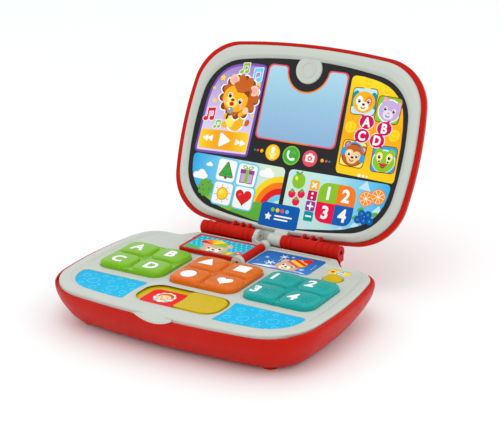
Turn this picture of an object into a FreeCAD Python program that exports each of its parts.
"""Toy laptop computer: a clam-shell toy with shape keys, a flip page, a slide picture and a play mirror.

Lengths are millimetres. +X runs along the hinge to the child's right, +Y from the child to the hinge,
+Z up. The origin is on the table, under the middle of the base. The lid is drawn standing open.
"""
import FreeCAD, Part
import math
import os
from FreeCAD import Vector

# ---- base and deck -------------------------------------------------------------------------------
DECK_Z = 37.2            # top of the deck above the table
FOOT_HEIGHT = 1.5
DECK_FRONT = -88.3
DECK_SHOULDER = 73.0     # rear edge of the deck beside the hinge block
DECK_BAND_RISE = 1.5     # the outer band of the deck stands proud of its field
DECK_BAND_SLOPE = 3.2    # width of the step between the band and the field
DECK_PLATE = 2.4
SEAT_PLAY = 0.15         # gap around the deck where it sits in the shell
SHELL_WALL = 2.6
LIP_R = 40.0
LIP_DROP = 3.4
LIP_THICK = 1.8
LIP_HALF_X = 20.0
LIP_SLOPE = 32.0         # degrees that the finger hollow falls towards the front
# depth below the deck and inward offset of the base shell's outside, from rim to floor
BASE_PROFILE = (
    (0.6, -1.5), (1.4, -2.4), (2.6, -2.6), (7.0, -2.0), (12.5, -0.2), (19.0, 3.2), (26.0, 7.7), (31.5, 12.6),
    (35.7, 19.6),
)

# ---- hinge ---------------------------------------------------------------------------------------
HINGE_Y = 92.0
HINGE_Z = DECK_Z + 5.0
LID_OPEN = 115.0         # degrees from lying level over the deck to the drawn pose
BARREL_R = 6.0
KNUCKLE_FLOOR = HINGE_Z - BARREL_R - 0.4
PIN_R = 1.5
PIN_PLAY = 0.05
HINGE_BLOCK_REAR = 97.6
BASE_KNUCKLES = ((-70.5, -50.0), (-24.5, -14.0), (14.0, 24.5), (50.0, 72.5))
LID_KNUCKLES = ((-49.6, -24.9), (24.9, 49.6))
BARREL_RINGS = (-64.0, -57.0, -20.0, 19.0, 55.0, 61.0, 67.0)
HINGE_SLANT = 0.6        # how fast the block under the hinge widens towards the front
EAR_SPAN = (-13.6, -9.8)
EAR_R = 6.6
SADDLE_END = 0.2
LID_SLEEVE_SPAN = (0.8, 13.5)
LID_SLEEVE_R = 5.6
GUSSETS = (-41.4, -33.2, -25.9, 31.2, 39.5, 47.5)

# ---- keys ----------------------------------------------------------------------------------------
CLUSTER_PITCH = 73.0
CLUSTER_Y = 4.0
CLUSTER_HALF_X = 33.2
CLUSTER_HALF_Y = 29.0
CLUSTER_CORNER = 10.5
KEY_TOP = 5.7            # crown of a key above the deck
KEY_WEB = 2.9            # low shoulder between neighbouring keys
KEY_GAP = 0.4
KEY_DRAFT = 2.2
KEY_CROWN = 150.0        # radius of the domed top
KEY_SOFT = 2.9
KEY_NAMES = (
    (-1, ("key_a", "key_b", "key_c", "key_d")),
    (0, ("key_triangle", "key_square", "key_circle", "key_heart")),
    (1, ("key_1", "key_2", "key_3", "key_4")),
)
FLANGE_TOP = 2.8         # depth of the retaining flange under the deck's face
FLANGE_LOW = 4.6
STEM_LOW = 7.4
MUSIC_BUTTON = (88.4, 47.2)
MUSIC_R = 8.2
MUSIC_TOP = 3.6

# ---- page, slider, labels ------------------------------------------------------------------------
PAGE_AXIS_X = 1.0
PAGE_AXIS_RISE = 2.2
PAGE_REACH = 64.5
PAGE_Y = (39.2, 76.6)
PAGE_THICK = 3.0
PAGE_ROD_R = 3.5
SLOT_Y = (-65.0, -31.0)
SLOT_HALF_X = 39.5
SLOT_CORNER = 13.0
KNOB_WIDTH = 40.0
KNOB_CORNER = 6.0
KNOB_PLAY = 0.4
SLOT_SLOPE = 5.4
TRAY_DEPTH = 3.0
KNOB_TOP = -0.3
LABEL = 0.3
LABEL_SINK = 0.75
PALM_TOP = -34.8
PALM_LOW = -72.2
PALM_INNER = 43.2
PALM_INSET = 13.8
PALM_CORNER = 5.0
PALM_SOFT = 2.0
BUTTON_LABEL_X = (76.4, 96.4)
BUTTON_LABEL_Y = (57.8, 66.8)

# ---- lid, in its own frame: Y up the panel from the hinge axis, Z towards the child --------------
PANEL_DROP = 8.7         # the printed panel lies this far behind the hinge axis
LID_PROFILE = ((1.4, 0.0), (5.0, 0.2), (10.0, 2.2), (15.0, 6.6), (19.5, 14.0), (23.0, 26.0), (24.6, 40.0))
LID_WALL = 2.4
BEZEL_PROFILE = ((-2.6, 0.0), (-1.2, 0.0), (0.8, 0.9), (2.1, 3.0), (2.7, 6.4))
WEBCAM_Y = 157.3
WEBCAM_R = 13.2
TAB_HALF_X = 20.0
TAB_Y = (10.5, 32.9)
TAB_CORNER = 3.0
MIRROR_HALF_X = 41.5
MIRROR_Y = (88.7, 158.9)
MIRROR_NOTCH_R = 20.5
MIRROR_SOFT = 3.5

SCREWS = ((98.0, -43.0), (68.0, 42.0), (52.0, -58.0))
LID_SCREWS = ((88.0, 39.5), (88.0, 142.5))
BAY_Y = -36.0            # middle of the battery box, in front of the centre foot
DOOR_SCREW_Y = BAY_Y + 24.0


class Outline:
    """A rounded rectangle whose four sides bulge: eight tangent arcs. corners and ends are (front, rear)."""

    def __init__(self, half_x, half_y, corners, side, ends, centre_y=0.0):
        self.half_x = half_x
        self.half_y = half_y
        self.corners = corners
        self.side = side
        self.ends = ends
        self.centre_y = centre_y

    def wire(self, inset=0.0, z=0.0):
        """The outline pulled in by inset, at height z."""
        quarters = []
        for sx, sy in ((1, 1), (-1, 1), (-1, -1), (1, -1)):
            arc = self.corner_arc(inset, 1 if sy > 0 else 0)
            if sx * sy < 0:
                arc.reverse()
            quarters.append([Vector(sx * x, sy * y + self.centre_y, z) for x, y in arc])
        middles = [
            Vector(0, self.centre_y + self.half_y - inset, z),
            Vector(-self.half_x + inset, self.centre_y, z),
            Vector(0, self.centre_y - self.half_y + inset, z),
            Vector(self.half_x - inset, self.centre_y, z),
        ]
        edges = []
        for i, corner_arc in enumerate(quarters):
            after = quarters[(i + 1) % 4]
            edges.append(Part.Arc(*corner_arc).toShape())
            edges.append(Part.Arc(corner_arc[2], middles[i], after[0]).toShape())
        return Part.Wire(edges)

    def corner_arc(self, inset, which):
        """Three points of the front (0) or rear (1) corner, from the side to the end."""
        side = self.side - inset
        end = self.ends[which] - inset
        corner = max(self.corners[which] - inset, 6.0)
        side_x = self.half_x - self.side
        end_y = self.half_y - self.ends[which]
        x, y = circles_meet((side_x, 0.0), side - corner, (0.0, end_y), end - corner)
        low = math.atan2(y, x - side_x)
        high = math.atan2(y - end_y, x)
        return [arc_point(x, y, corner, a) for a in (low, (low + high) / 2, high)]


def arc_point(cx, cy, radius, angle):
    return cx + radius * math.cos(angle), cy + radius * math.sin(angle)


def circles_meet(p, rp, q, rq):
    """The upper right crossing of two circles."""
    dx = q[0] - p[0]
    dy = q[1] - p[1]
    gap = math.hypot(dx, dy)
    along = (rp * rp - rq * rq + gap * gap) / (2 * gap)
    across = math.sqrt(rp * rp - along * along)
    mid = (p[0] + along * dx / gap, p[1] + along * dy / gap)
    found = [(mid[0] + s * across * dy / gap, mid[1] - s * across * dx / gap) for s in (1, -1)]
    return max(found, key=lambda point: point[0] + point[1])


def slab(wire, height):
    return Part.Face(wire).extrude(Vector(0, 0, height))


def box(x, y, z):
    """A box from three (low, high) spans."""
    corner = Vector(x[0], y[0], z[0])
    return Part.makeBox(x[1] - x[0], y[1] - y[0], z[1] - z[0], corner)


def round_rect(x, y, radius, z=0.0):
    """A wire around the rectangle x by y with equal round corners."""
    points = []
    centres = ((x[1], y[1], 1, 1), (x[0], y[1], -1, 1), (x[0], y[0], -1, -1), (x[1], y[0], 1, -1))
    for i, (px, py, sx, sy) in enumerate(centres):
        cx = px - sx * radius
        cy = py - sy * radius
        start = math.radians(90 * i)
        points.append([Vector(*arc_point(cx, cy, radius, start + math.radians(a)), z) for a in (0, 45, 90)])
    edges = []
    for i, arc in enumerate(points):
        edges.append(Part.Arc(*arc).toShape())
        edges.append(Part.makeLine(arc[2], points[(i + 1) % 4][0]))
    return Part.Wire(edges)


def cylinder_x(radius, x, y, z):
    return Part.makeCylinder(radius, x[1] - x[0], Vector(x[0], y, z), Vector(1, 0, 0))


def plate_x(points, x):
    """A plate across X from (y, z) points."""
    ring = [Vector(x[0], y, z) for y, z in points]
    face = Part.Face(Part.makePolygon(ring + ring[:1]))
    return face.extrude(Vector(x[1] - x[0], 0, 0))


def post(radius, x, y, z):
    return Part.makeCylinder(radius, z[1] - z[0], Vector(x, y, z[0]))


def loft(wires):
    return Part.makeLoft(wires, True, False)


def swept_profile(outline, profile, level, count):
    """A solid whose side follows (height, inset) points smoothly; level turns a height into z."""
    curve = Part.BSplineCurve()
    curve.interpolate([Vector(height, inset, 0) for height, inset in profile])
    wires = [outline.wire(point.y, level(point.x)) for point in curve.discretize(count)]
    return Part.makeLoft(wires, True, True)


def mirrored(shape):
    return shape.mirror(Vector(0, 0, 0), Vector(1, 0, 0))


def fuse(first, *others):
    return first.fuse(list(others)).removeSplitter()


def cut(first, *others):
    return first.cut(list(others))


def edges_where(shape, test):
    return [edge for edge in shape.Edges if test(edge.BoundBox)]


DECK_HALF_Y = (DECK_SHOULDER - DECK_FRONT) / 2
DECK_MIDDLE = (DECK_SHOULDER + DECK_FRONT) / 2
DECK = Outline(125.0, DECK_HALF_Y, (45.0, 22.0), 330.0, (700.0, 4000.0), DECK_MIDDLE)
SHELL = Outline(126.8, DECK_HALF_Y, (46.0, 23.0), 330.0, (700.0, 4000.0), DECK_MIDDLE)
FIELD = Outline(114.6, 71.4, (35.0, 14.0), 330.0, (700.0, 4000.0), -4.0)
RIM_SEAT = Outline(125.0 + SEAT_PLAY, DECK_HALF_Y + 2.2, (45.0, 22.0), 330.0, (700.0, 4000.0), DECK_MIDDLE - 2.0)
LID_RIM = Outline(122.3, 88.5, (46.0, 46.0), 330.0, (700.0, 700.0), 92.0)
LID_INNER = Outline(118.0, 85.6, (46.0, 46.0), 330.0, (700.0, 700.0), 92.05)
BEZEL = Outline(117.6, 85.2, (46.0, 46.0), 330.0, (700.0, 700.0), 92.1)
PANEL = Outline(108.4, 76.8, (42.0, 42.0), 260.0, (420.0, 420.0), 88.8)


# ---- base ----------------------------------------------------------------------------------------
def hinge_ring(half_rear, rear, z):
    """The plan of the part that reaches back under the hinge, with slanting sides."""
    front = 60.0
    half_front = half_rear + HINGE_SLANT * (rear - front)
    points = [Vector(-half_front, front, z), Vector(half_front, front, z)]
    points += [Vector(half_rear, rear - 8, z), Vector(half_rear - 8, rear, z)]
    points += [Vector(8 - half_rear, rear, z), Vector(-half_rear, rear - 8, z)]
    return Part.makePolygon(points + points[:1])


def hinge_block():
    """The base's own wall under the hinge, leaning in towards the table."""
    low = hinge_ring(60.0, HINGE_BLOCK_REAR - 16.0, 12.0)
    high = hinge_ring(73.0, HINGE_BLOCK_REAR, KNUCKLE_FLOOR)
    return Part.makeLoft([low, high], True, True)


def deck_seat():
    """The room that the deck plate and the foot of its hinge ear take above the shell."""
    floor = DECK_Z - DECK_PLATE
    ear_x = (EAR_SPAN[0] - SEAT_PLAY, SADDLE_END + SEAT_PLAY)
    ear_y = (HINGE_Y - 8.0 - SEAT_PLAY, HINGE_Y + 4.0 + SEAT_PLAY)
    return [
        slab(RIM_SEAT.wire(0.0, floor), 10.0),
        slab(DECK.wire(-SEAT_PLAY, floor), 10.0),
        box((-110, 110), (40, HINGE_Y - BARREL_R), (floor, floor + 10)),
        box(ear_x, ear_y, (floor, floor + 10)),
    ]


def hinge_block_cavity():
    """The hollow inside the hinge block, open upwards only in front of the barrels."""
    low = hinge_ring(57.0, HINGE_BLOCK_REAR - 19.5, 15.0)
    high = hinge_ring(69.5, HINGE_BLOCK_REAR - 3.0, KNUCKLE_FLOOR - SHELL_WALL)
    open_top = slab(hinge_ring(74.0, HINGE_Y - BARREL_R - 2.0, 29.0), 20.0)
    return Part.makeLoft([low, high], True, True), open_top


def battery_bay():
    """The moulded battery box and the step that its door sits in."""
    block = box((-36, 36), (BAY_Y - 29, BAY_Y + 29), (FOOT_HEIGHT, 20.3))
    door_step = box((-33.2, 33.2), (BAY_Y - 27.2, BAY_Y + 27.2), (0, 3.6))
    cavity = box((-29, 29), (BAY_Y - 22.5, BAY_Y + 22.5), (3.5, 18.7))
    return block, fuse(door_step, cavity)


def base_shell():
    outside = swept_profile(SHELL, BASE_PROFILE, lambda depth: DECK_Z - depth, 26)
    inner = [(depth, inset + 3.4) for depth, inset in BASE_PROFILE[3:]]
    hollow = swept_profile(SHELL, inner, lambda depth: DECK_Z - depth + SHELL_WALL, 10)
    inside = fuse(hollow, slab(DECK.wire(1.4, DECK_Z - 7.0), 12.0))
    shell = cut(fuse(outside, hinge_block()), *deck_seat())
    shell = cut(shell, inside, *hinge_block_cavity())
    bay, hollow = battery_bay()
    parts = [bay]
    holes = [hollow]
    for x, y in screw_places():
        parts.append(post(4.5, x, y, (2.5, DECK_Z - 12)))
        holes.append(post(3.2, x, y, (0, DECK_Z - 20)))
        holes.append(post(1.6, x, y, (0, DECK_Z)))
    for x in (-107, 107):
        for y in (-22.0, 29.0):
            parts.append(post(2.6, x, y, (3, DECK_Z - 13.8)))
            holes.append(post(1.0, x, y, (12, DECK_Z)))
    for x, y in [(-88, -56), (88, -56), (-86, 40), (86, 40), (0, 0)]:
        parts.append(post(7.0, x, y, (0, 4.0)))
    for row in range(5):
        y = -13 + 6.5 * row
        reach = math.sqrt(16.0 ** 2 - y ** 2)
        holes.append(box((-74 - reach, -74 + reach), (y - 1.2, y + 1.2), (0, 6)))
    for span in BASE_KNUCKLES:
        parts.append(cylinder_x(BARREL_R, span, HINGE_Y, HINGE_Z))
        parts.append(box(span, (HINGE_Y - 4.6, HINGE_Y + 4.6), (KNUCKLE_FLOOR - 2, HINGE_Z)))
    for x in BARREL_RINGS:
        parts.append(cylinder_x(BARREL_R + 0.5, (x - 0.7, x + 0.7), HINGE_Y, HINGE_Z))
    holes.append(cylinder_x(PIN_R, (-68, -10), HINGE_Y, HINGE_Z))
    holes.append(cylinder_x(PIN_R, (10, 80), HINGE_Y, HINGE_Z))
    holes.append(cylinder_x(2.3, (69.5, 80), HINGE_Y, HINGE_Z))
    holes.append(post(1.4, 0, DOOR_SCREW_Y, (0, 11)))
    holes.append(lip_block(0.35))
    return cut(fuse(shell, *parts), *holes)


def screw_places():
    return [(side * x, y) for x, y in SCREWS for side in (-1, 1)]


def lip_cylinder(radius):
    """A sloping cylinder that gives the finger lip its dished shape."""
    slope = math.radians(LIP_SLOPE)
    start = Vector(0, DECK_FRONT - 3.0, DECK_Z - LIP_DROP + LIP_R / math.cos(slope))
    along = Vector(0, math.cos(slope), math.sin(slope))
    return Part.makeCylinder(radius, 80, start - along * 30, along)


def lip_block(grow):
    """The finger lip that hangs over the front rim, as a dished apron."""
    x = (-LIP_HALF_X - grow, LIP_HALF_X + grow)
    span = box(x, (DECK_FRONT - 3.0 - grow, DECK_FRONT + 14), (0, DECK_Z - 0.2 + grow))
    return lip_cylinder(LIP_R + LIP_THICK + grow).common(span)


def deck_cover():
    field = DECK_Z + DECK_BAND_RISE
    low = DECK_Z - DECK_PLATE
    plate = slab(DECK.wire(0.0, low), field - low)
    rear = slab(hinge_ring(70.5, HINGE_BLOCK_REAR - 2.0, low), field - low)
    rear = cut(rear, box((-100, 100), (HINGE_Y - BARREL_R - 0.5, 120), (0, 60)))
    plate = fuse(plate, rear)
    corners = edges_where(plate, lambda b: b.ZLength > 3 and b.XLength < 0.1 and b.YMin > 60)
    plate = plate.makeFillet(5.0, corners)
    rim = edges_where(plate, lambda b: b.ZMin > field - 0.01)
    plate = plate.makeFillet(1.8, rim)
    slope = loft([FIELD.wire(0.0, DECK_Z), FIELD.wire(-DECK_BAND_SLOPE, field + 0.01)])
    centre = box((-68, 68), (40, HINGE_Y - BARREL_R - 3.5), (DECK_Z, DECK_Z + 5))
    plate = cut(plate, slope, slab(FIELD.wire(-DECK_BAND_SLOPE, field), 5.0), centre)
    skirt = cut(slab(DECK.wire(1.9, DECK_Z - 6.4), 5.0), slab(DECK.wire(3.9, DECK_Z - 8), 7.0))
    skirt = cut(skirt, box((-96, 96), (55, 120), (0, 60)))
    parts = [skirt, lip_block(0.0)]
    holes = [lip_cylinder(LIP_R)]
    for x, y in screw_places():
        parts.append(post(3.5, x, y, (DECK_Z - 12, low)))
        holes.append(post(1.2, x, y, (DECK_Z - 13, DECK_Z - 4)))
    for x in (-45, 45):
        for y in (-66, -30):
            parts.append(post(2.0, x, y, (DECK_Z - TRAY_DEPTH, low)))
    parts += hinge_ear() + page_ears()
    for column, _ in KEY_NAMES:
        x = column * CLUSTER_PITCH
        rect = cluster_wire(x, KEY_GAP, DECK_Z - 5)
        holes.append(slab(rect, 10))
    holes.append(post(MUSIC_R + 0.4, *MUSIC_BUTTON, (0, 60)))
    holes.append(Part.makeCone(MUSIC_R + 0.4, MUSIC_R + 1.8, 1.8, Vector(*MUSIC_BUTTON, DECK_Z - 1.75)))
    holes.append(slot_hole())
    holes.append(slot_relief())
    holes.append(cylinder_y(4.0, (PAGE_Y[0] - 0.3, PAGE_Y[1] + 0.3), PAGE_AXIS_X, DECK_Z + PAGE_AXIS_RISE))
    holes.append(cylinder_y(1.65, (PAGE_Y[0] - 6, PAGE_Y[1] + 4), PAGE_AXIS_X, DECK_Z + PAGE_AXIS_RISE))
    holes += [slab(face.OuterWire, 4) for face in label_faces(DECK_Z - LABEL_SINK, 0.12).values()]
    holes.append(cylinder_x(PIN_R, (-14, -12.2), HINGE_Y, HINGE_Z))
    holes.append(cylinder_x(2.4, (-12.3, -5), HINGE_Y, HINGE_Z))
    return cut(fuse(plate, *parts), *holes)


def cylinder_y(radius, y, x, z):
    return Part.makeCylinder(radius, y[1] - y[0], Vector(x, y[0], z), Vector(0, 1, 0))


def hinge_ear():
    """The grey ear beside the left barrel and the saddle that ties it to the deck."""
    ear = cylinder_x(EAR_R, EAR_SPAN, HINGE_Y, HINGE_Z)
    floor = DECK_Z - DECK_PLATE
    foot = box(EAR_SPAN, (HINGE_Y - 8.0, HINGE_Y + 4.0), (floor, HINGE_Z - 1.0))
    y = HINGE_Y - 8.0
    start = Vector(EAR_SPAN[0], y, floor)
    crest = Vector(EAR_SPAN[0], y, HINGE_Z + 2.5)
    sag = Vector(-6.5, y, HINGE_Z - 2.6)
    toe = Vector(SADDLE_END, y, HINGE_Z - 3.4)
    end = Vector(SADDLE_END, y, floor)
    ring = Part.Wire([
        Part.makeLine(start, crest),
        Part.Arc(crest, sag, toe).toShape(),
        Part.makeLine(toe, end),
        Part.makeLine(end, start),
    ])
    saddle = Part.Face(ring).extrude(Vector(0, 8.5, 0))
    return [ear, foot, cut(saddle, cylinder_x(6.0, (EAR_SPAN[1], 20), HINGE_Y, HINGE_Z))]


def page_ears():
    """Half-round posts that carry the ends of the page's rod."""
    z = DECK_Z + PAGE_AXIS_RISE
    ears = []
    for y, radius in (((PAGE_Y[0] - 4.6, PAGE_Y[0] - 0.4), 5.6), ((PAGE_Y[1] + 0.4, PAGE_Y[1] + 6.4), 5.0)):
        ear = cylinder_y(radius, y, PAGE_AXIS_X, z)
        foot = box((PAGE_AXIS_X - radius, PAGE_AXIS_X + radius), y, (DECK_Z - 1.0, z))
        ears.append(cut(fuse(ear, foot), box((-20, 20), (0, 120), (0, DECK_Z - 1.0))))
    return ears


def slot_hole():
    """The slide window with its soft sloping surround."""
    x = (-SLOT_HALF_X, SLOT_HALF_X)
    opening = slab(round_rect(x, SLOT_Y, SLOT_CORNER, DECK_Z - 10), 10)
    wide = SLOT_SLOPE
    low = round_rect(x, SLOT_Y, SLOT_CORNER, DECK_Z - 1.5)
    mid_span = (x[0] - wide * 0.45, x[1] + wide * 0.45)
    mid_y = (SLOT_Y[0] - wide * 0.45, SLOT_Y[1] + wide * 0.45)
    mid = round_rect(mid_span, mid_y, SLOT_CORNER + wide * 0.45, DECK_Z - 0.95)
    top_span = (x[0] - wide, x[1] + wide)
    top_y = (SLOT_Y[0] - wide, SLOT_Y[1] + wide)
    top = round_rect(top_span, top_y, SLOT_CORNER + wide, DECK_Z + 0.02)
    above = round_rect(top_span, top_y, SLOT_CORNER + wide, DECK_Z + 3.0)
    return fuse(opening, Part.makeLoft([low, mid, top, above], True, True))


def slot_relief():
    """The deck is thinner around the window, so that the slide block sits close under the surface."""
    return slab(round_rect((-48.0, 48.0), (-71.0, -26.8), 4.0, DECK_Z - 6), 4.8)


# ---- labels --------------------------------------------------------------------------------------
def palm_face(z, grow):
    """The right palm label: it follows the deck's front corner."""
    field = Part.Face(DECK.wire(PALM_INSET - grow, z))
    top = PALM_TOP + grow
    low = PALM_LOW - grow
    inner = PALM_INNER - grow
    start = Vector(inner, low, z)
    bulge = Vector(inner + 1.6, (low + top) / 2, z)
    end = Vector(inner, top, z)
    far = [Vector(140, top, z), Vector(140, low, z)]
    ring = Part.Wire([
        Part.Arc(start, bulge, end).toShape(),
        Part.makeLine(end, far[0]),
        Part.makeLine(far[0], far[1]),
        Part.makeLine(far[1], start),
    ])
    plate = slab(field.common(Part.Face(ring)).Faces[0].OuterWire, 1.0)
    tip = edges_where(plate, lambda b: b.ZLength > 0.9 and b.YMin > top - 0.1 and b.XMin > inner + 20)
    plate = plate.makeFillet(PALM_CORNER, tip)
    ends = edges_where(plate, lambda b: b.ZLength > 0.9 and b.XMax < inner + 0.1 and b.YLength < 0.1)
    plate = plate.makeFillet(PALM_SOFT, ends)
    return min(plate.Faces, key=lambda side: side.CenterOfMass.z)


def label_faces(z, grow):
    """The flat labels on the deck's field, at height z."""
    def rect(x, y, radius):
        wide_x = (x[0] - grow, x[1] + grow)
        wide_y = (y[0] - grow, y[1] + grow)
        return Part.Face(round_rect(wide_x, wide_y, radius + grow, z))
    palm = palm_face(z, grow)
    return {
        "palm_label_right": palm,
        "palm_label_left": mirrored(palm).Faces[0],
        "winter_picture_label": rect((5.4, 66.0), (42.4, 79.6), 4.5),
        "under_page_label": rect((-63.6, -4.0), (42.4, 77.0), 4.5),
        "button_label": rect(BUTTON_LABEL_X, BUTTON_LABEL_Y, 2.5),
    }


# ---- keys ----------------------------------------------------------------------------------------
def cluster_wire(x, grow, z):
    half_x = CLUSTER_HALF_X + grow
    half_y = CLUSTER_HALF_Y + grow
    y = CLUSTER_Y
    return round_rect((x - half_x, x + half_x), (y - half_y, y + half_y), CLUSTER_CORNER + grow, z)


def crowned_pad(x, y, low, top, corner):
    """A drafted pad with a domed top and soft edges."""
    shrink = KEY_DRAFT * 1.15
    wide = round_rect(x, y, corner, low)
    narrow_x = (x[0] + shrink, x[1] - shrink)
    narrow_y = (y[0] + shrink, y[1] - shrink)
    narrow = round_rect(narrow_x, narrow_y, corner - shrink, top + 1)
    pad = Part.makeLoft([wide, narrow], True, True)
    centre = Vector((x[0] + x[1]) / 2, (y[0] + y[1]) / 2, top - KEY_CROWN)
    pad = pad.common(Part.makeSphere(KEY_CROWN, centre))
    rim = edges_where(pad, lambda b: b.ZMin > top - 3.0)
    return pad.makeFillet(KEY_SOFT, rim)


def key(column, place):
    """One key: pad, low web, flange under the deck and stem."""
    centre = column * CLUSTER_PITCH
    side = 1 if place % 2 else -1
    row = 1 if place < 2 else -1
    half_gap = KEY_GAP / 2
    x = sorted((centre + side * half_gap, centre + side * CLUSTER_HALF_X))
    y = sorted((CLUSTER_Y + row * half_gap, CLUSTER_Y + row * CLUSTER_HALF_Y))
    beyond_x = sorted((centre + side * half_gap, centre + side * 50))
    beyond_y = sorted((CLUSTER_Y + row * half_gap, CLUSTER_Y + row * 50))
    quarter = box(beyond_x, beyond_y, (0, 60))
    web_low = DECK_Z - FLANGE_TOP
    web = slab(cluster_wire(centre, 0.0, web_low), FLANGE_TOP + KEY_WEB).common(quarter)
    flange_height = FLANGE_LOW - FLANGE_TOP
    flange = slab(cluster_wire(centre, 1.5, DECK_Z - FLANGE_LOW), flange_height).common(quarter)
    pad = crowned_pad(x, y, DECK_Z + 0.5, DECK_Z + KEY_TOP, 9.2)
    trim = slab(cluster_wire(centre, 0.0, DECK_Z), 20)
    pad = pad.common(trim)
    stem = post(4.0, (x[0] + x[1]) / 2, (y[0] + y[1]) / 2, (DECK_Z - STEM_LOW, DECK_Z - FLANGE_TOP))
    return fuse(web, flange, pad, stem)


def music_button():
    x, y = MUSIC_BUTTON
    body = post(MUSIC_R, x, y, (DECK_Z - FLANGE_LOW, DECK_Z + 9))
    crown = 11.5
    body = body.common(Part.makeSphere(crown, Vector(x, y, DECK_Z + MUSIC_TOP - crown)))
    flange = post(MUSIC_R + 2.0, x, y, (DECK_Z - FLANGE_LOW, DECK_Z - FLANGE_TOP))
    stem = post(3.0, x, y, (DECK_Z - STEM_LOW, DECK_Z - FLANGE_LOW))
    return fuse(body, flange, stem)


def key_centres():
    centres = []
    for column, _ in KEY_NAMES:
        for dx in (-CLUSTER_HALF_X / 2, CLUSTER_HALF_X / 2):
            for dy in (-CLUSTER_HALF_Y / 2, CLUSTER_HALF_Y / 2):
                centres.append((column * CLUSTER_PITCH + dx, CLUSTER_Y + dy))
    return centres


# ---- page and slider -----------------------------------------------------------------------------
def page_parts():
    axis_z = DECK_Z + PAGE_AXIS_RISE
    low = axis_z - PAGE_THICK / 2
    left = PAGE_AXIS_X - PAGE_REACH
    plate = slab(round_rect((left, PAGE_AXIS_X), PAGE_Y, 3.0, low), PAGE_THICK)
    rod = cylinder_y(PAGE_ROD_R, PAGE_Y, PAGE_AXIS_X, axis_z)
    journal = cylinder_y(1.6, (PAGE_Y[0] - 3.6, PAGE_Y[1] + 3.6), PAGE_AXIS_X, axis_z)
    picture_x = (left + 3.0, PAGE_AXIS_X - PAGE_ROD_R - 0.6)
    picture_y = (PAGE_Y[0] + 3.0, PAGE_Y[1] - 3.0)
    top = axis_z + PAGE_THICK / 2
    front = slab(round_rect(picture_x, picture_y, 2.0, top - LABEL), LABEL)
    back = slab(round_rect(picture_x, picture_y, 2.0, low), LABEL)
    frame = cut(fuse(plate, rod, journal), front, back)
    return {"page_frame": frame, "page_label_front": front, "page_label_back": back}


def slider_tray():
    top = DECK_Z - TRAY_DEPTH
    return box((-47.6, 47.6), (-70.5, -27.2), (top - 1.6, top))


def slider_knob():
    """The raised block that covers one of the two hidden pictures, with guide edges under the deck."""
    right = SLOT_HALF_X - KNOB_PLAY
    left = right - KNOB_WIDTH
    y = (SLOT_Y[0] + KNOB_PLAY, SLOT_Y[1] - KNOB_PLAY)
    low = DECK_Z - TRAY_DEPTH + 0.3
    window = slab(round_rect((-right, right), y, SLOT_CORNER - KNOB_PLAY, low), DECK_Z + KNOB_TOP - low)
    scoop = Part.makeCylinder(60.0, 30, Vector(left - 57.6, (y[0] + y[1]) / 2 - 4, low - 5))
    end = slab(round_rect((left, 60), y, KNOB_CORNER, low), 20)
    body = cut(window.common(end), scoop)
    top = edges_where(body, lambda b: b.ZMin > DECK_Z + KNOB_TOP - 0.1)
    body = body.makeFillet(0.9, top)
    guides = box((left + 6, right - 8), (y[0] - 2.6, y[1] + 2.6), (low, low + 1.0))
    return fuse(body, guides)


def slider_labels():
    z = DECK_Z - TRAY_DEPTH
    y = (SLOT_Y[0] + 0.5, SLOT_Y[1] - 5.0)
    left = slab(round_rect((-34.0, 2.5), y, 6.0, z), 0.2)
    right = slab(round_rect((4.0, 35.0), y, 6.0, z), 0.2)
    return {"slider_label_left": left, "slider_label_right": right}


# ---- inside the base -----------------------------------------------------------------------------
def inner_parts():
    board_low = DECK_Z - 13.8
    board_top = board_low + 1.6
    board = box((-110, 110), (-25, 32), (board_low, board_top))
    tab = box((78, 100), (32, 60), (board_low, board_top))
    holes = [post(1.0, x, y, (0, 60)) for x in (-107, 107) for y in (-22.0, 29.0)]
    board = cut(fuse(board, tab), *holes)
    sheet = fuse(box((-103, 103), (-24, 31), (board_top, board_top + 0.8)),
                 box((79, 99), (31, 59), (board_top, board_top + 0.8)))
    sheet = cut(sheet, *[post(4.0, x, y, (0, 60)) for x in (-107, 107) for y in (-22.0, 29.0)])
    dome_low = board_top + 0.8
    domes = [Part.makeCone(4.6, 3.2, 1.2, Vector(x, y, dome_low)) for x, y in key_centres() + [MUSIC_BUTTON]]
    screws = []
    for x in (-107, 107):
        for y in (-22.0, 29.0):
            screws.append(screw(x, y, board_top, 1.0, 8.0, 2.0, 1.6, -1))
    casing = [screw(x, y, DECK_Z - 20, 1.2, 15.0, 2.8, 2.0, 1) for x, y in screw_places()]
    rows = [BAY_Y + dy for dy in (-14.8, 0.0, 14.8)]
    cells = [cylinder_x(7.1, (-25, 25), y, 11.0) for y in rows]
    contacts = []
    for side in (-1, 1):
        for y in rows:
            plate = box(sorted((side * 28.9, side * 28.4)), (y - 5.5, y + 5.5), (6, 16))
            nub = cylinder_x(2.6, sorted((side * 28.4, side * 25.0)), y, 11.0)
            contacts.append(fuse(plate, nub))
    cone = fuse(post(20.0, -74, 0, (4.1, 7.0)), Part.makeCone(17.0, 11.0, 4.0, Vector(-74, 0, 7.0)))
    magnet = post(11.0, -74, 0, (11.0, 15.0))
    return {
        "circuit_board": board,
        "switch_membrane": fuse(sheet, *domes),
        "board_screws": Part.makeCompound(screws),
        "casing_screws": Part.makeCompound(casing),
        "batteries": Part.makeCompound(cells),
        "battery_contacts": Part.makeCompound(contacts),
        "speaker": fuse(cone, magnet),
    }


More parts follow.
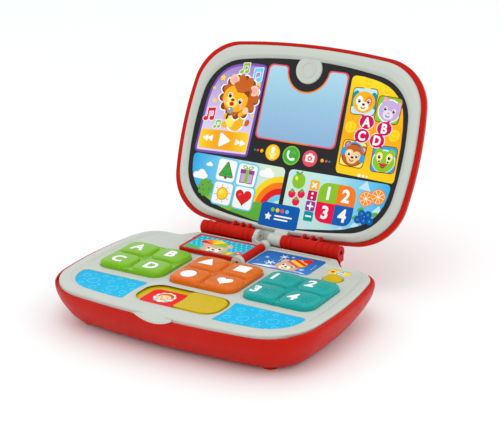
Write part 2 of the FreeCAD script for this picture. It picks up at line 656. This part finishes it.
def screw(x, y, seat, shank_r, length, head_r, head_height, point):
    """A pan-head screw; point is +1 when its tip looks up."""
    tip = seat + point * length
    head = seat - point * head_height
    shank = post(shank_r, x, y, sorted((seat, tip)))
    dome = post(head_r, x, y, sorted((seat, head)))
    slot_z = sorted((head, head + point * 0.8))
    slots = [box((x - head_r * 0.7, x + head_r * 0.7), (y - 0.4, y + 0.4), slot_z),
             box((x - 0.4, x + 0.4), (y - head_r * 0.7, y + head_r * 0.7), slot_z)]
    return cut(fuse(shank, dome), *slots)


def battery_door():
    plate = box((-33, 33), (BAY_Y - 27, BAY_Y + 27), (FOOT_HEIGHT, 3.5))
    ribs = []
    for y in (BAY_Y - 6, BAY_Y, BAY_Y + 6):
        ribs.append(box((-20, 20), (y - 0.8, y + 0.8), (FOOT_HEIGHT - 0.6, FOOT_HEIGHT)))
    hole = post(1.6, 0, DOOR_SCREW_Y, (0, 5))
    seat = post(3.0, 0, DOOR_SCREW_Y, (0, 2.2))
    return cut(fuse(plate, *ribs), hole, seat)


# ---- lid -----------------------------------------------------------------------------------------
def stand_lid(shape):
    """Move a shape from the lid's own frame to the open pose."""
    placed = shape.copy()
    placed.rotate(Vector(0, 0, 0), Vector(1, 0, 0), 180.0 - LID_OPEN)
    placed.translate(Vector(0, HINGE_Y, HINGE_Z))
    return placed


def panel_z(rise):
    """Height in the lid's frame of a level that stands rise above the printed panel."""
    return -PANEL_DROP + rise


def lid_shell():
    outside = swept_profile(LID_RIM, LID_PROFILE, lambda depth: panel_z(-depth), 22)
    inner = [(depth, inset + 3.0) for depth, inset in LID_PROFILE[1:]]
    hollow = swept_profile(LID_RIM, inner, lambda depth: panel_z(-depth + LID_WALL), 10)
    inside = fuse(hollow, slab(LID_INNER.wire(0.0, panel_z(-4.0)), 12.0))
    shell = cut(outside, inside)
    parts = []
    holes = []
    for span in LID_KNUCKLES:
        parts.append(cylinder_x(BARREL_R, span, 0, 0))
        arm = ((-2.5, -5.4), (0.5, -13.7), (5.5, -14.7), (5.5, -10.1), (4.0, -7.0), (4.2, -4.2), (0.0, 0.0))
        parts.append(plate_x(arm, span))
        holes.append(cylinder_x(PIN_R + PIN_PLAY, (span[0] - 0.2, span[1] + 0.2), 0, 0))
    parts += [gusset(x) for x in GUSSETS]
    holes.append(box((-22.0, 14.0), (2.0, 8.0), (-11.1, -7.0)))
    for x, y in lid_screw_places():
        parts.append(post(4.0, x, y, (panel_z(-21.5), panel_z(-6.0))))
        holes.append(post(2.9, x, y, (panel_z(-40), panel_z(-12))))
        holes.append(post(1.3, x, y, (panel_z(-40), panel_z(0))))
    return cut(fuse(shell, *parts), *holes)


def gusset(x):
    """A small triangular rib from the lid's barrel on to the bezel."""
    edge = (
        (2.6, 5.0), (10.6, -5.6), (9.6, -6.2), (7.3, -7.6), (6.4, -9.6), (6.4, -10.1), (4.0, -10.1), (0, 0),
    )
    return plate_x(edge, (x - 1.2, x + 1.2))


def lid_screw_places():
    return [(side * x, y) for x, y in LID_SCREWS for side in (-1, 1)]


def lid_bezel():
    ring = swept_profile(BEZEL, BEZEL_PROFILE, panel_z, 12)
    panel = fuse(slab(PANEL.wire(0.0, panel_z(-LABEL)), 2.0), tab_slab(-LABEL, 2.0, 0.0))
    flare = loft([PANEL.wire(-grow, panel_z(rise)) for grow, rise in ((0.0, 0.6), (1.0, 1.5), (3.4, 2.8))])
    disc = post(WEBCAM_R, 0, WEBCAM_Y, (panel_z(-LABEL), panel_z(1.6)))
    rim = edges_where(disc, lambda b: b.ZMin > panel_z(1.5))
    disc = disc.makeFillet(1.2, rim)
    lens = cut(post(7.4, 0, WEBCAM_Y, (0, 9)), post(6.0, 0, WEBCAM_Y, (-1, 10)))
    lens.translate(Vector(0, 0, panel_z(1.2)))
    lens = lens.common(post(20, 0, WEBCAM_Y, (panel_z(1.2), panel_z(2.0))))
    body = cut(ring, panel, flare)
    sleeve = cylinder_x(LID_SLEEVE_R, LID_SLEEVE_SPAN, 0, 0)
    tongue = plate_x(((1.5, -5.0), (7.2, -10.8), (10.5, -7.2), (4.6, -2.6)), LID_SLEEVE_SPAN)
    apron = plate_x(((-4.5, -10.8), (7.1, -10.8), (7.1, -9.1), (-4.5, -8.9)), (-21.5, 13.5))
    posts = [post(3.2, x, y, (panel_z(-6.0), panel_z(-2.0))) for x, y in lid_screw_places()]
    pilots = [post(1.1, x, y, (panel_z(-6.0), panel_z(-1.2))) for x, y in lid_screw_places()]
    bore = cylinder_x(2.6, (LID_SLEEVE_SPAN[0] - 1, LID_SLEEVE_SPAN[1] - 2), 0, 0)
    return cut(fuse(body, disc, lens, sleeve, tongue, apron, *posts), bore, *pilots)


def tab_slab(rise, height, inset):
    x = (-TAB_HALF_X + inset, TAB_HALF_X - inset)
    y = (TAB_Y[0] + inset, TAB_Y[1] - inset)
    return slab(round_rect(x, y, TAB_CORNER, panel_z(rise)), height)


def mirror_wire(inset, z):
    """The play mirror: a rounded rectangle with a bite taken out of its top around the lens disc."""
    x = (-MIRROR_HALF_X + inset, MIRROR_HALF_X - inset)
    y = (MIRROR_Y[0] + inset, MIRROR_Y[1] - inset)
    plate = Part.Face(round_rect(x, y, 5.0 - inset / 2, z))
    bite = Part.Face(Part.Wire(Part.makeCircle(MIRROR_NOTCH_R + inset, Vector(0, WEBCAM_Y, z))))
    return plate.cut(bite).Faces[0].OuterWire


def play_mirror():
    mirror = slab(mirror_wire(0.0, panel_z(0.0)), 0.6)
    top = MIRROR_Y[1]
    horns = edges_where(mirror, lambda b: b.ZLength > 0.5 and b.XLength < 0.1 and b.YMin > top - 0.1 and
                        abs(b.XMin) < MIRROR_NOTCH_R + 1)
    return mirror.makeFillet(MIRROR_SOFT, horns)


def lid_panel_parts():
    label = slab(PANEL.wire(0.15, panel_z(-LABEL)), LABEL)
    label = cut(label, post(WEBCAM_R + 0.15, 0, WEBCAM_Y, (-20, 5)), tab_slab(-LABEL, LABEL, 0.0))
    tab = tab_slab(-LABEL, LABEL + 0.15, 0.1)
    mirror = play_mirror()
    screws = [screw(x, y, panel_z(-12), 1.1, 10.0, 2.7, 1.8, 1) for x, y in lid_screw_places()]
    return {
        "lid_label": label,
        "tab_label": tab,
        "lid_mirror": mirror,
        "lid_screws": Part.makeCompound(screws),
    }


# ---- the whole toy -------------------------------------------------------------------------------
def build_all():
    nodes = {"base_shell": base_shell(), "deck_cover": deck_cover()}
    for name, face in label_faces(DECK_Z - LABEL_SINK, 0.0).items():
        nodes[name] = slab(face.OuterWire, LABEL)
    for column, names in KEY_NAMES:
        for place, name in enumerate(names):
            nodes[name] = key(column, place)
    nodes["music_button"] = music_button()
    nodes.update(page_parts())
    nodes["slider_tray"] = slider_tray()
    nodes["slider_knob"] = slider_knob()
    nodes.update(slider_labels())
    nodes.update(inner_parts())
    nodes["battery_door"] = battery_door()
    nodes["battery_door_screw"] = screw(0, DOOR_SCREW_Y, 2.2, 1.4, 8.0, 2.6, 0.7, 1)
    nodes["hinge_pin_left"] = cylinder_x(PIN_R, (-67.8, -16.0), HINGE_Y, HINGE_Z)
    nodes["hinge_pin_right"] = cylinder_x(PIN_R, (14.5, 69.5), HINGE_Y, HINGE_Z)
    nodes["lid_shell"] = stand_lid(lid_shell())
    nodes["lid_bezel"] = stand_lid(lid_bezel())
    for name, shape in lid_panel_parts().items():
        nodes[name] = stand_lid(shape)
    return nodes


def main():
    os.makedirs("parts", exist_ok=True)
    for name, shape in build_all().items():
        shape.exportStep(f"parts/{name}.step")
        solids = len(shape.Solids)
        print(f"{name:22s} solids {solids:2d}  valid {shape.isValid()}  volume {shape.Volume / 1000:.2f} cm3")


main()
